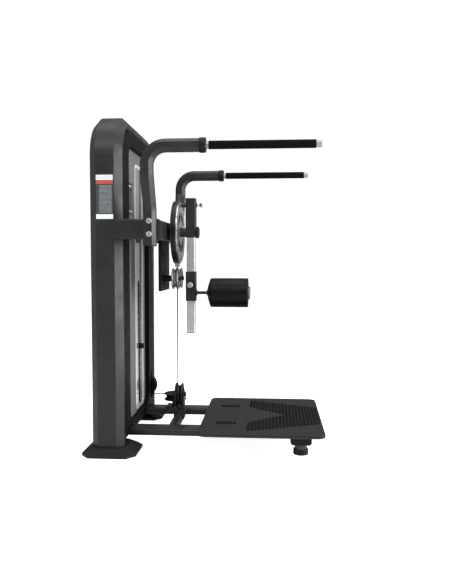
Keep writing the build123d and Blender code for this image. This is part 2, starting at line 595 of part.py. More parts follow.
def make_pulleys():
    """Two guide pulleys, three base pulleys and two top pulleys."""
    big = pulley(PULLEY_RADIUS, PULLEY_PITCH, PULLEY_WIDTH)
    guide = pulley(GUIDE_RADIUS, GUIDE_RADIUS - 6, GUIDE_WIDTH)
    small = pulley(TOP_PULLEY_RADIUS, TOP_PULLEY_PITCH, TOP_PULLEY_WIDTH)
    along_x = Rot(0, 90, 0)
    along_y = Rot(90, 0, 0)
    keep("near_guide_pulley", Pos(CABLE_X, -GUIDE_Y, GUIDE_Z) * along_x * guide)
    keep("far_guide_pulley", Pos(CABLE_X, GUIDE_Y, GUIDE_Z) * along_x * guide)
    keep("foot_pulley", Pos(CABLE_X, PULLEY_PITCH, LOW_PULLEY_Z) * along_x * big)
    keep("turn_pulley", Pos(turn_x(), turn_y(), LOW_CABLE_Z) * big)
    keep("tower_pulley", Pos(tower_pulley_x(), RISE_CABLE_Y, LOW_PULLEY_Z) * along_y * big)
    y_out = RISE_CABLE_Y - TOP_PULLEY_PITCH
    y_in = STACK_Y + TOP_PULLEY_PITCH
    keep("outer_top_pulley", Pos(STACK_X, y_out, TOP_PULLEY_Z) * along_x * small)
    keep("inner_top_pulley", Pos(STACK_X, y_in, TOP_PULLEY_Z) * along_x * small)


def turn_x():
    """Middle of the level pulley that turns the cable towards the tower."""
    return CABLE_X - PULLEY_PITCH


def turn_y():
    """The level pulley's middle across the machine."""
    return RISE_CABLE_Y - PULLEY_PITCH


def tower_pulley_x():
    """Middle of the pulley at the tower's foot."""
    return STACK_X + PULLEY_PITCH


def make_pulley_mounts():
    """Brackets and bolts of all pulleys."""
    bolt = PULLEY_BOLT
    hang = block(CABLE_X - 73, CABLE_X - 61, -125, 125, 717, BEAM_BOTTOM)
    corners = hang.edges().filter_by(Axis.X).sort_by(Axis.Z)[:2]
    hang = fillet(corners, 6)
    lower = []
    for x0 in (CABLE_X - 26, CABLE_X + 21):
        lower.append(block(x0, x0 + 5, 24, 76, 60, LOW_PULLEY_Z + 20))
    tower = []
    for y0 in (RISE_CABLE_Y - 26, RISE_CABLE_Y + 21):
        x = tower_pulley_x()
        tower.append(block(x - 25, x + 20, y0, y0 + 5, BASE_TUBE_TOP, LOW_PULLEY_Z + 20))
    top = []
    for x0 in (STACK_X - 21, STACK_X + 16):
        y0 = STACK_Y + TOP_PULLEY_PITCH - 24
        y1 = RISE_CABLE_Y - TOP_PULLEY_PITCH + 24
        plate = block(x0, x0 + 5, y0, y1, TOP_PULLEY_Z - 24, TOWER_HEIGHT)
        roof = arch(LEG_INNER, ROOF, 0, TOWER_CORNER - LEG_THICKNESS,
                    x0 - 1, x0 + 6)
        top.append(plate & roof)
    turn = block(turn_x() - 40, turn_x() + 40, 158, turn_y() + 14, BASE_TUBE_TOP,
                 BASE_TUBE_TOP + 6)
    turn += rod_z(turn_x(), turn_y(), BASE_TUBE_TOP + 6, LOW_CABLE_Z - PULLEY_WIDTH / 2 - 0.5, 34)
    y_out = RISE_CABLE_Y - TOP_PULLEY_PITCH
    y_in = STACK_Y + TOP_PULLEY_PITCH
    bolts = [rod_x(CABLE_X - 34, CABLE_X + 34, PULLEY_PITCH, LOW_PULLEY_Z, bolt),
             rod_z(turn_x(), turn_y(), BASE_TUBE_TOP - 6, LOW_CABLE_Z + 28, bolt),
             rod_y(tower_pulley_x(), RISE_CABLE_Y - 34, RISE_CABLE_Y + 34, LOW_PULLEY_Z, bolt),
             rod_x(STACK_X - 28, STACK_X + 28, y_out, TOP_PULLEY_Z, bolt),
             rod_x(STACK_X - 28, STACK_X + 28, y_in, TOP_PULLEY_Z, bolt)]
    heads = [rod_x(CABLE_X + 26, CABLE_X + 34, PULLEY_PITCH, LOW_PULLEY_Z, 22),
             rod_z(turn_x(), turn_y(), LOW_CABLE_Z + 19, LOW_CABLE_Z + 28, 22),
             rod_y(tower_pulley_x(), RISE_CABLE_Y - 34, RISE_CABLE_Y - 26, LOW_PULLEY_Z, 22),
             rod_x(STACK_X + 21, STACK_X + 28, y_out, TOP_PULLEY_Z, 22),
             rod_x(STACK_X + 21, STACK_X + 28, y_in, TOP_PULLEY_Z, 22)]
    bolts = [b + h for b, h in zip(bolts, heads)]
    for y in (-GUIDE_Y, GUIDE_Y):
        stud = rod_x(CABLE_X - 73, CABLE_X + 24, y, GUIDE_Z, bolt)
        stud += rod_x(CABLE_X - 61, CABLE_X - GUIDE_WIDTH / 2 - 0.5, y, GUIDE_Z, 26)
        stud += rod_x(CABLE_X + GUIDE_WIDTH / 2 + 0.5, CABLE_X + 24, y, GUIDE_Z, 22)
        bolts.append(stud)
    holes = bolts
    keep("guide_bracket", cut_all(hang, holes))
    keep("pulley_brackets", *[cut_all(p, holes) for p in lower + tower + top + [turn]])
    nodes["base_rails"][1] = cut_all(nodes["base_rails"][1], holes)
    keep("pulley_bolts", *bolts)


def cut_all(solid, tools):
    """Cut every tool out of a solid."""
    for tool in tools:
        solid = solid - tool
    return solid


def make_cable():
    """The steel cable in three stretches: wheel to guides, round the frame, and lift."""
    lift_top = TOP_PULLEY_Z - 10
    keep("wheel_cable", rod_z(CABLE_X, 0, GUIDE_Z, CLAMP_BOTTOM, CABLE_DIAMETER))
    route = [(CABLE_X, 0, GUIDE_Z), (CABLE_X, 0, LOW_CABLE_Z),
             (CABLE_X, RISE_CABLE_Y, LOW_CABLE_Z), (STACK_X, RISE_CABLE_Y, LOW_CABLE_Z),
             (STACK_X, RISE_CABLE_Y, TOP_CABLE_Z), (STACK_X, STACK_Y, TOP_CABLE_Z),
             (STACK_X, STACK_Y, lift_top)]
    radii = [PULLEY_PITCH, PULLEY_PITCH, PULLEY_PITCH, TOP_PULLEY_PITCH, TOP_PULLEY_PITCH]
    path = FilletPolyline(*route, radius=radii)
    section = Plane(origin=route[0], z_dir=(0, 0, -1)) * Circle(CABLE_RADIUS)
    cable = sweep(section, path=path)
    length = path.length
    area = math.pi * CABLE_RADIUS ** 2
    print(f"cable length {length:.1f} volume ratio {cable.volume / (length * area):.4f}")
    keep("frame_cable", cable)
    keep("lift_cable", rod_z(STACK_X, STACK_Y, FITTING_TOP, lift_top, CABLE_DIAMETER))


def weight_plate(z, thickness):
    """One steel weight plate, bored for the rods, the stem and the selector pin."""
    half_length = PLATE_LENGTH / 2
    half_depth = PLATE_DEPTH / 2
    plate = block(STACK_X - half_depth, STACK_X + half_depth, STACK_Y - half_length,
                  STACK_Y + half_length, z, z + thickness)
    plate = fillet(plate.edges().filter_by(Axis.Z), 6)
    plate -= rod_z(STACK_X, STACK_Y, z - 1, z + thickness + 1, STEM_DIAMETER + 4)
    for side in SIDES:
        y = STACK_Y + side * ROD_SPACING / 2
        plate -= rod_z(STACK_X, y, z - 1, z + thickness + 1, ROD_DIAMETER + 2)
    pin_hole = rod_x(STACK_X, STACK_X + half_depth + 1, STACK_Y, z + PLATE_THICKNESS / 2,
                     STACK_PIN_DIAMETER + 1.5)
    return plate - pin_hole


def make_stack():
    """Resting plates, lifted plates, head plate, stem, selector pin and cable end."""
    levels = [STACK_BOTTOM + i * PLATE_PITCH for i in range(PLATE_COUNT)]
    plates = [weight_plate(z, PLATE_THICKNESS) for z in levels]
    keep("resting_plates", *plates[:RESTING_COUNT])
    keep("lifted_plates", *plates[RESTING_COUNT:])
    head = block(STACK_X - PLATE_DEPTH / 2, STACK_X + PLATE_DEPTH / 2,
                 STACK_Y - PLATE_LENGTH / 2, STACK_Y + PLATE_LENGTH / 2, STACK_TOP, HEAD_TOP)
    head = fillet(head.edges().filter_by(Axis.Z), 6)
    head = fillet(head.faces().sort_by(Axis.Z)[-1].edges(), 2)
    for side in SIDES:
        y = STACK_Y + side * ROD_SPACING / 2
        head -= rod_z(STACK_X, y, STACK_TOP - 1, HEAD_TOP + 1, ROD_DIAMETER + 1)
    head -= rod_z(STACK_X, STACK_Y, STACK_TOP - 1, HEAD_TOP + 1, STEM_DIAMETER)
    keep("head_plate", head)
    stem = rod_z(STACK_X, STACK_Y, STACK_BOTTOM + 2, HEAD_TOP + 12, STEM_DIAMETER)
    for z in levels:
        stem -= rod_x(STACK_X - 20, STACK_X + 20, STACK_Y, z + PLATE_THICKNESS / 2,
                      STACK_PIN_DIAMETER + 1.5)
    stem += rod_z(STACK_X, STACK_Y, HEAD_TOP + 12, FITTING_TOP, 16)
    stem += Pos(STACK_X, STACK_Y, HEAD_TOP + 18) * Box(30, 22, 12)
    keep("selector_stem", stem)
    front = STACK_X + PLATE_DEPTH / 2
    pin = rod_x(STACK_X - 10, front + 14, STACK_Y, STACK_PIN_Z, STACK_PIN_DIAMETER)
    knob = rod_x(front + 12, front + 34, STACK_Y, STACK_PIN_Z, 28)
    knob = fillet(knob.edges().sort_by(Axis.X)[-1], 5)
    keep("selector_pin", pin + knob)


def make_rods():
    """Two plated guide rods, the rubber bumpers under the stack and the top bar."""
    rods = []
    bumpers = []
    bar = block(STACK_X - 28, STACK_X + 28, -LEG_INNER, LEG_INNER, ROD_TOP - 16, ROD_TOP - 8)
    for side in SIDES:
        y = STACK_Y + side * ROD_SPACING / 2
        rods.append(rod_z(STACK_X, y, BASE_TUBE_TOP, ROD_TOP, ROD_DIAMETER))
        bumper = rod_z(STACK_X, y, BASE_TUBE_TOP, STACK_BOTTOM - 0.5, 52)
        bumper = fillet(bumper.edges().sort_by(Axis.Z)[-1], 5)
        bumpers.append(bumper - rod_z(STACK_X, y, BASE_TUBE_TOP - 1, STACK_BOTTOM, ROD_DIAMETER))
        bar -= rod_z(STACK_X, y, ROD_TOP - 20, ROD_TOP, ROD_DIAMETER)
    for y in (STACK_Y, RISE_CABLE_Y):
        bar -= rod_z(STACK_X, y, ROD_TOP - 20, ROD_TOP, 24)
    keep("guide_rods", *rods)
    keep("stack_bumpers", *bumpers)
    keep("rod_top_bar", bar)


def recess_face(grow):
    """The outline of the recess in the front cover."""
    width = 2 * (RECESS_HALF_WIDTH + grow)
    height = RECESS_TOP - RECESS_BOTTOM + 2 * grow
    middle = (RECESS_TOP + RECESS_BOTTOM) / 2
    return Pos(0, middle) * RectangleRounded(width, height, RECESS_CORNER + grow)


def window_face(grow):
    """The outline of the window, centred on the weight stack."""
    width = WINDOW_WIDTH + 2 * grow
    height = WINDOW_TOP - WINDOW_BOTTOM + 2 * grow
    middle = (WINDOW_TOP + WINDOW_BOTTOM) / 2
    return Pos(STACK_Y, middle) * RectangleRounded(width, height, WINDOW_CORNER + grow)


def window_sheets():
    """The clear window: two tall sheets beside the pin slot, a long one above, a short one below."""
    sheet = extrude(Plane.YZ.offset(RECESS_FLOOR - 3) * window_face(-0.3), 3)
    slot_low = STACK_Y - SLOT_WIDTH / 2
    slot_high = STACK_Y + SLOT_WIDTH / 2
    bounds = [(slot_low - WINDOW_WIDTH, slot_low, 0, TOWER_HEIGHT),
              (slot_high, slot_high + WINDOW_WIDTH, 0, TOWER_HEIGHT),
              (slot_low, slot_high, SLOT_TOP, TOWER_HEIGHT),
              (slot_low, slot_high, 0, SLOT_BOTTOM)]
    return [sheet & block(RECESS_FLOOR - 9, RECESS_FLOOR + 9, *bound) for bound in bounds]


def make_covers():
    """The recessed front cover with its window and slots, and the flat rear cover."""
    outline = arch_face(COVER_HALF_WIDTH, COVER_TOP, COVER_BOTTOM, COVER_CORNER)
    sheet = COVER_SHEET
    flat = extrude(Plane.YZ.offset(COVER_FRONT - sheet) * (outline - recess_face(0)), sheet)
    tray = extrude(Plane.YZ.offset(RECESS_FLOOR - sheet) * recess_face(sheet),
                   COVER_FRONT - RECESS_FLOOR + sheet)
    hollow = extrude(Plane.YZ.offset(RECESS_FLOOR) * recess_face(0), RECESS_DEPTH + 1)
    opening = extrude(Plane.YZ.offset(RECESS_FLOOR - 9) * window_face(0), 18)
    cover = flat + (tray - hollow) - opening
    pulley_slot = block(RECESS_FLOOR - 9, COVER_FRONT + 9, RISE_CABLE_Y - 24,
                        RISE_CABLE_Y + 24, LOW_PULLEY_Z - 71, LOW_PULLEY_Z + 71)
    cover -= pulley_slot
    for side in SIDES:
        half = BASE_TUBE_WIDTH / 2 + 3
        cover -= block(RECESS_FLOOR - 9, COVER_FRONT + 9, side * RAIL_Y - half,
                       side * RAIL_Y + half, 0, BASE_TUBE_TOP + 3)
    keep("front_cover", cover)
    frame = window_face(12) - window_face(-4)
    keep("window_trim", extrude(Plane.YZ.offset(RECESS_FLOOR) * frame, 3))
    keep("window_panel", *window_sheets())
    rear = extrude(Plane.YZ.offset(LEG_BACK + 5) * outline, sheet)
    rear -= block(LEG_BACK, LEG_BACK + 20, -400, 400, 0, BASE_TUBE_TOP + 3)
    for row in range(6):
        z = ROOF - 278 + 30 * row
        rear -= block(LEG_BACK, LEG_BACK + 20, -70, 70, z, z + 10)
    keep("rear_cover", rear)


def handle_path():
    """Centre line of the near handle tube, from its foot on the side beam."""
    y_foot = -HANDLE_FOOT_Y
    points = [(HANDLE_X, y_foot, HANDLE_FOOT_Z), (HANDLE_X, y_foot, BEAM_Z + HANDLE_STRAIGHT),
              (HANDLE_X, -HANDLE_Y, BEAM_Z + HANDLE_FLARE), (HANDLE_X, -HANDLE_Y, HANDLE_Z),
              (HANDLE_END, -HANDLE_Y, HANDLE_Z)]
    return FilletPolyline(*points, radius=[110, 60, HANDLE_BEND])


def handle_section(inset):
    """The bevelled square section at the foot of the handle."""
    size = HANDLE_TUBE - 2 * inset
    bevel = HANDLE_BEVEL - inset * (2 - math.sqrt(2))
    square = Rectangle(size, size)
    face = chamfer(square.vertices(), bevel)
    return Plane(origin=(HANDLE_X, -HANDLE_FOOT_Y, HANDLE_FOOT_Z), x_dir=(1, 0, 0),
                 z_dir=(0, 0, 1)) * face


def make_handles():
    """Two bent handle tubes with collars, plated bars, grips, caps and bolts."""
    path = handle_path()
    tube = sweep(handle_section(0), path=path) - sweep(handle_section(HANDLE_WALL), path=path)
    near = {}
    cap_face = chamfer(Rectangle(HANDLE_TUBE, HANDLE_TUBE).vertices(), HANDLE_BEVEL)
    foot_cap = Pos(HANDLE_X, -HANDLE_FOOT_Y, HANDLE_FOOT_Z - 4) * extrude(cap_face, 4)
    foot_cap = fillet(foot_cap.faces().sort_by(Axis.Z)[0].edges(), 2)
    collar_right = HANDLE_END + COLLAR_LENGTH
    collar = rod_x(HANDLE_END, collar_right, -HANDLE_Y, HANDLE_Z, COLLAR_DIAMETER)
    collar = fillet(collar.edges(), 5)
    collar -= rod_x(HANDLE_END - 1, collar_right + 1, -HANDLE_Y, HANDLE_Z, BAR_DIAMETER)
    near["handle_collars"] = [collar]
    bar = rod_x(HANDLE_END, GRIP_END + BAR_TIP, -HANDLE_Y, HANDLE_Z, BAR_DIAMETER)
    bar = fillet(bar.edges().sort_by(Axis.X)[-1], 3)
    near["handle_bars"] = [bar]
    grip = rod_x(GRIP_START, GRIP_END, -HANDLE_Y, HANDLE_Z, GRIP_DIAMETER)
    grip -= rod_x(GRIP_START - 1, GRIP_END + 1, -HANDLE_Y, HANDLE_Z, BAR_DIAMETER)
    near["handle_grips"] = [grip]
    bolts = []
    face_y = -(TOWER_HALF_WIDTH + HANDLE_TUBE)
    for z in (BEAM_Z - HANDLE_BOLT_LOW, BEAM_Z + HANDLE_BOLT_HIGH):
        bolt = rod_y(HANDLE_X, face_y - 6, face_y, z, 24)
        bolt = fillet(bolt.edges().sort_by(Axis.Y)[0], 4)
        bolts.append(bolt + rod_y(HANDLE_X, face_y, -TOWER_HALF_WIDTH + 12, z, 12))
    near["handle_bolts"] = bolts
    near["handle_tubes"] = [cut_all(tube, bolts)]
    mirrored = [mirror(b, Plane.XZ) for b in bolts]
    nodes["side_beams"] = [cut_all(b, bolts + mirrored) for b in nodes["side_beams"]]
    nodes["end_caps"] += [foot_cap, mirror(foot_cap, Plane.XZ)]
    for name, solids in near.items():
        keep(name, *solids, *[mirror(s, Plane.XZ) for s in solids])


def write_parts():
    """Write one STEP file per sub-part."""
    os.makedirs("parts", exist_ok=True)
    for name, shapes in nodes.items():
        solids = [solid for shape in shapes for solid in shape.solids()]
        body = solids[0] if len(solids) == 1 else Compound(children=solids)
        body.label = name
        export_step(body, f"parts/{name}.step")
    print(len(nodes), "nodes")


make_tower()
make_base()
make_tower_feet()
make_levelling_feet()
make_platform()
make_upper_beams()
make_pivot()
make_drive_wheel()
make_arm()
make_carriage()
make_roller()
make_pulleys()
make_pulley_mounts()
make_cable()
make_stack()
make_rods()
make_covers()
make_handles()
write_parts()
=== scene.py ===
import math
import bpy
import numpy as np
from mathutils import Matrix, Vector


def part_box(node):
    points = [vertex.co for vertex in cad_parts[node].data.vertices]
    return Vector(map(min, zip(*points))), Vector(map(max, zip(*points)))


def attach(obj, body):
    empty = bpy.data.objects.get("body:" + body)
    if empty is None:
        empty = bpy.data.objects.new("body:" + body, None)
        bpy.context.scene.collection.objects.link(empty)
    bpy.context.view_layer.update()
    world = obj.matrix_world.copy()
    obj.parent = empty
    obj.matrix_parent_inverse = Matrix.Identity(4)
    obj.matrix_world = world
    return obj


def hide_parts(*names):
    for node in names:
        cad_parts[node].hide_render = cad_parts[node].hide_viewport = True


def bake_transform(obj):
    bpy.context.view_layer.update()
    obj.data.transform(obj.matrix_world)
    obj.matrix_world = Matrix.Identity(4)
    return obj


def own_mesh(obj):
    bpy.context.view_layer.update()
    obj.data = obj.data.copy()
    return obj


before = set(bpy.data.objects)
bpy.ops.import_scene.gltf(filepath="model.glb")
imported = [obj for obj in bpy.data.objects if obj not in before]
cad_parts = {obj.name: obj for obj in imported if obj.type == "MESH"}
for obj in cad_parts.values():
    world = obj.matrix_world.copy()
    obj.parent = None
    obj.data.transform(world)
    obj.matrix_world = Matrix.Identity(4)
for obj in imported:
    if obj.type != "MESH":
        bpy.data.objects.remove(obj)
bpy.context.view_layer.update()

# ---- The room: a plain pale floor, a white surround and soft studio light -----------
# The floor is matt and pale. Tall soft boxes stand to the right and left of the
# machine, a broad one hangs over it and another hangs high before it.
scene = bpy.context.scene
scene.view_settings.view_transform = "Standard"
FLOOR_HALF = 14.0
FLOOR_DROP = 0.0005   # the floor lies this far under the machine's feet
FLOOR_LIFT = 0.90     # what the white studio floor adds to its own lit colour


def grid_piece(name, points, closed_v=False, smooth=True):
    """A mesh through a grid of points (rows u, columns v): one quad per grid cell.

    closed_v joins the last column to the first.
    """
    rows, cols = points.shape[:2]
    index = np.arange(rows * cols).reshape(rows, cols)
    if closed_v:
        index = np.hstack([index, index[:, :1]])
    quads = np.stack([index[:-1, :-1], index[:-1, 1:], index[1:, 1:], index[1:, :-1]], axis=-1)
    return mesh_piece(name, points.reshape(-1, 3), quads.reshape(-1, 4), smooth)


def mesh_piece(name, points, faces, smooth=True):
    """A mesh object from an array of points and an array or list of faces."""
    mesh = bpy.data.meshes.new(name)
    mesh.from_pydata(np.asarray(points).tolist(), [], [list(map(int, f)) for f in faces])
    mesh.polygons.foreach_set("use_smooth", [smooth] * len(mesh.polygons))
    mesh.update()
    piece = bpy.data.objects.new(name, mesh)
    scene.collection.objects.link(piece)
    return piece


def finish(name, colour, rough, metallic=0.0, **sockets):
    """A surface finish: a Principled shader with plain values, ready for more nodes."""
    material = bpy.data.materials.new(name)
    material.use_nodes = True
    shader = material.node_tree.nodes["Principled BSDF"]
    shader.inputs["Base Color"].default_value = (*colour, 1.0)
    shader.inputs["Roughness"].default_value = rough
    shader.inputs["Metallic"].default_value = metallic
    for socket, value in sockets.items():
        shader.inputs[socket.replace("_", " ")].default_value = value
    return material


def node(material, kind, **settings):
    """One shader node, its settings given by attribute or by input name."""
    made = material.node_tree.nodes.new("ShaderNode" + kind)
    for key, value in settings.items():
        if hasattr(made, key):
            setattr(made, key, value)
        else:
            made.inputs[key.replace("_", " ")].default_value = value
    return made


def link(material, source, target):
    """Join an output socket to an input socket."""
    material.node_tree.links.new(source, target)


def place_on(material, stretch=(1, 1, 1)):
    """Object coordinates, stretched by a factor along each axis."""
    coords = node(material, "TexCoord")
    mapping = node(material, "Mapping")
    mapping.inputs["Scale"].default_value = stretch
    link(material, coords.outputs["Object"], mapping.inputs["Vector"])
    return mapping.outputs["Vector"]


def noise(material, scale, detail=3.0, stretch=(1, 1, 1)):
    """Smooth noise on Object coordinates, scale in bumps per metre."""
    made = node(material, "TexNoise", Scale=scale, Detail=detail)
    link(material, place_on(material, stretch), made.inputs["Vector"])
    return made.outputs["Fac"]


def spread(material, value, low, high, source_low=0.35, source_high=0.65):
    """Maps a noise value onto the range low to high."""
    made = node(material, "MapRange", From_Min=source_low, From_Max=source_high,
                To_Min=low, To_Max=high)
    link(material, value, made.inputs["Value"])
    return made.outputs["Result"]


def blend_colour(material, factor, first, second):
    """Mixes two colours, or a socket and a colour, by a factor socket."""
    made = node(material, "Mix", data_type="RGBA")
    link(material, factor, made.inputs["Factor"])
    for socket, colour in ((made.inputs[6], first), (made.inputs[7], second)):
        if isinstance(colour, tuple):
            socket.default_value = (*colour, 1.0)
        else:
            link(material, colour, socket)
    return made.outputs[2]


def shader_of(material):
    """The material's Principled shader."""
    return material.node_tree.nodes["Principled BSDF"]


def bump(material, height, depth):
    """Raises the surface by depth metres where height is 1; chains onto an earlier bump."""
    made = node(material, "Bump", Distance=depth)
    shader = shader_of(material)
    if shader.inputs["Normal"].is_linked:
        link(material, shader.inputs["Normal"].links[0].from_socket, made.inputs["Normal"])
    link(material, height, made.inputs["Height"])
    link(material, made.outputs["Normal"], shader.inputs["Normal"])


# This edge mask carries a painted edge highlight on the tube paint and real rubbed wear on the
# weight plates.
def edge_wear_and_highlight(material, radius, low=0.02, high=0.25):
    """1 along the sharp edges of a piece and 0 on its faces, broken up by noise.

    It is one minus the dot product of the true normal and a normal rounded over radius.
    """
    rounded = node(material, "Bevel", samples=4, Radius=radius)
    true = node(material, "NewGeometry")
    dot = node(material, "VectorMath", operation="DOT_PRODUCT")
    link(material, rounded.outputs["Normal"], dot.inputs[0])
    link(material, true.outputs["Normal"], dot.inputs[1])
    turned = spread(material, dot.outputs["Value"], 1.0, 0.0, 1.0 - high, 1.0 - low)
    broken = node(material, "Math", operation="MULTIPLY")
    link(material, turned, broken.inputs[0])
    link(material, spread(material, noise(material, 60.0), 0.2, 1.0), broken.inputs[1])
    return broken.outputs["Value"]


def dress(material, *names):
    """Gives CAD nodes a finish in all their material slots."""
    for name in names:
        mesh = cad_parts[name].data
        if not mesh.materials:
            mesh.materials.append(material)
        for slot in range(len(mesh.materials)):
            mesh.materials[slot] = material


def fit_piece(piece, material, body, slot, *replaced):
    """A made piece takes its finish, its body and the nodes it replaces. The slot argument is not
    used.
    """
    piece.data.materials.append(material)
    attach(piece, body)
    if replaced:
        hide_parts(*replaced)


floor_grid = np.array([[[-1, -1, 0], [1, -1, 0]], [[-1, 1, 0], [1, 1, 0]]]) * FLOOR_HALF
floor_piece = grid_piece("studio_floor", floor_grid - [0, 0, FLOOR_DROP])
floor_matt = finish("floor_matt", (0.93, 0.93, 0.93), 0.9, Specular_IOR_Level=0.0)
floor_glow = node(floor_matt, "Emission", Strength=FLOOR_LIFT)
floor_seen = node(floor_matt, "LightPath")
floor_off = node(floor_matt, "MixShader")
floor_sum = node(floor_matt, "AddShader")
link(floor_matt, floor_seen.outputs["Is Camera Ray"], floor_off.inputs["Fac"])
link(floor_matt, floor_glow.outputs[0], floor_off.inputs[2])
link(floor_matt, shader_of(floor_matt).outputs[0], floor_sum.inputs[0])
link(floor_matt, floor_off.outputs[0], floor_sum.inputs[1])
link(floor_matt, floor_sum.outputs[0],
     floor_matt.node_tree.nodes["Material Output"].inputs["Surface"])
floor_piece.data.materials.append(floor_matt)

SURROUND_LIGHT = 0.42     # how strongly the white surround lights the machine
SURROUND_SEEN = 1.05      # and how bright it is behind it
world = bpy.data.worlds.new("studio_surround")
scene.world = world
world.use_nodes = True
surround = world.node_tree
surround_light = surround.nodes["Background"]
surround_light.inputs["Color"].default_value = (1, 1, 1, 1)
surround_light.inputs["Strength"].default_value = SURROUND_LIGHT
surround_seen = surround.nodes.new("ShaderNodeBackground")
surround_seen.inputs["Color"].default_value = (1, 1, 1, 1)
surround_seen.inputs["Strength"].default_value = SURROUND_SEEN
seen_or_lit = surround.nodes.new("ShaderNodeMixShader")
ray_kind = surround.nodes.new("ShaderNodeLightPath")
surround.links.new(ray_kind.outputs["Is Camera Ray"], seen_or_lit.inputs["Fac"])
surround.links.new(surround_light.outputs[0], seen_or_lit.inputs[1])
surround.links.new(surround_seen.outputs[0], seen_or_lit.inputs[2])
surround.links.new(seen_or_lit.outputs[0], surround.nodes["World Output"].inputs["Surface"])


def soft_box(name, centre, target, width, height, watts):
    """A rectangular light at centre that faces target."""
    data = bpy.data.lights.new(name, "AREA")
    data.shape = "RECTANGLE"
    data.size, data.size_y, data.energy = width, height, watts
    lamp = bpy.data.objects.new(name, data)
    scene.collection.objects.link(lamp)
    to = np.array(target) - np.array(centre)
    lamp.location = centre
    lamp.rotation_euler = (math.atan2(math.hypot(to[0], to[1]), -to[2]), 0,
                           math.atan2(to[1], to[0]) - math.pi / 2)


soft_box("right_box", (3.6, -1.0, 1.4), (0, 0, 0.8), 1.4, 3.0, 190)
soft_box("left_box", (-3.2, -2.2, 1.5), (-0.4, 0, 0.8), 0.9, 2.6, 60)
soft_box("top_box", (0.3, -0.2, 3.8), (0, 0, 0.6), 3.0, 3.0, 70)
soft_box("near_box", (-0.6, -3.6, 4.0), (0, 0, 1.0), 3.0, 1.6, 75)

camera_data = bpy.data.cameras.new("camera")
camera_data.lens = 38.70
camera_data.sensor_width = 36.0
camera_data.sensor_fit = "AUTO"
camera = bpy.data.objects.new("camera", camera_data)
camera.location = (0.2969, -3.101, 0.8768)
camera.rotation_euler = (math.radians(90 - 3.094), 0, math.radians(4.124))
scene.collection.objects.link(camera)
scene.camera = camera

# ---- Tower, beams, base tubes, handles and arm: powder-coated steel tube ------------
# All welded tube has one satin charcoal powder coat: a fine orange-peel skin and slightly
# uneven gloss. Its corners are paler: a painted edge highlight. The guide bracket and the
# pulley bolts have a duller black one.
charcoal = finish("charcoal_powder_coat", (0.008, 0.008, 0.0085), 0.42,
                  Specular_IOR_Level=0.38)
charcoal_tone = blend_colour(charcoal, spread(charcoal, noise(charcoal, 9.0), 0.0, 1.0),
                             (0.0065, 0.0065, 0.007), (0.0105, 0.0105, 0.011))
# The paler corners are a painted edge highlight, broken up by noise.
charcoal_edge_highlight = blend_colour(charcoal, edge_wear_and_highlight(charcoal, 0.0025), charcoal_tone,
                             (0.03, 0.03, 0.032))
link(charcoal, charcoal_edge_highlight, shader_of(charcoal).inputs["Base Color"])
link(charcoal, spread(charcoal, noise(charcoal, 14.0), 0.36, 0.48),
     shader_of(charcoal).inputs["Roughness"])
bump(charcoal, noise(charcoal, 900.0, 2.0), 0.00006)
dress(charcoal, "tower_frame", "base_rails", "base_cross_tubes", "side_beams",
      "upper_cross_beam", "handle_tubes", "pivot_housing", "arm_sleeve", "carriage",
      "pulley_brackets", "platform_plate", "rod_top_bar", "roller_axle", "rear_cover")

dull_black = finish("dull_black_coat", (0.004, 0.004, 0.0042), 0.6, Specular_IOR_Level=0.15)
link(dull_black, spread(dull_black, noise(dull_black, 18.0), 0.52, 0.68),
     shader_of(dull_black).inputs["Roughness"])
bump(dull_black, noise(dull_black, 900.0, 2.0), 0.00005)
dress(dull_black, "guide_bracket", "pulley_bolts")

# ---- Tower covers: pressed sheet ----------------------------------------------------
# The flat ring round the front cover is near black; the recess inside it is a paler
# metallic grey. A silver trim frames the window, a smoked acrylic sheet. The rear
# cover has the paint of the tower.
cover_front_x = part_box("front_cover")[1][0]
RECESS_DEPTH = 0.025
RECESS_COLOUR_EDGE = (0.0245, 0.0235)     # behind the ring, where black turns to grey
cover = finish("cover_powder_coat", (0.002, 0.002, 0.0022), 0.6, Specular_IOR_Level=0.1)
cover_depth = node(cover, "SeparateXYZ")
link(cover, place_on(cover), cover_depth.inputs["Vector"])
in_recess = spread(cover, cover_depth.outputs["X"], 1.0, 0.0,
                   cover_front_x - RECESS_COLOUR_EDGE[0], cover_front_x - RECESS_COLOUR_EDGE[1])
cover_grey = blend_colour(cover, spread(cover, noise(cover, 700.0, 1.0), 0.0, 1.0),
                          (0.105, 0.105, 0.108), (0.15, 0.15, 0.153))
link(cover, blend_colour(cover, in_recess, (0.002, 0.002, 0.0022), cover_grey),
     shader_of(cover).inputs["Base Color"])
link(cover, spread(cover, noise(cover, 20.0), 0.56, 0.7), shader_of(cover).inputs["Roughness"])
bump(cover, noise(cover, 1100.0, 2.0), 0.00004)
dress(cover, "front_cover")

silver_trim = finish("silver_window_trim", (0.86, 0.86, 0.87), 0.3, 0.6)
link(silver_trim, spread(silver_trim, noise(silver_trim, 40.0, 1.0, (1, 1, 0.05)), 0.28, 0.34),
     shader_of(silver_trim).inputs["Roughness"])
dress(silver_trim, "window_trim")

acrylic = finish("smoked_acrylic", (0.16, 0.165, 0.17), 0.12, 0.0, Alpha=0.8,
                 Specular_IOR_Level=0.9, Coat_Weight=1.0, Coat_Roughness=0.05)
acrylic_tone = spread(acrylic, noise(acrylic, 5.0, 1.0, (1, 1.6, 0.12)), 0.0, 1.0)
link(acrylic, blend_colour(acrylic, acrylic_tone, (0.12, 0.122, 0.126), (0.34, 0.345, 0.35)),
     shader_of(acrylic).inputs["Base Color"])
bump(acrylic, noise(acrylic, 4.0, 1.0), 0.0006)
dress(acrylic, "window_panel")
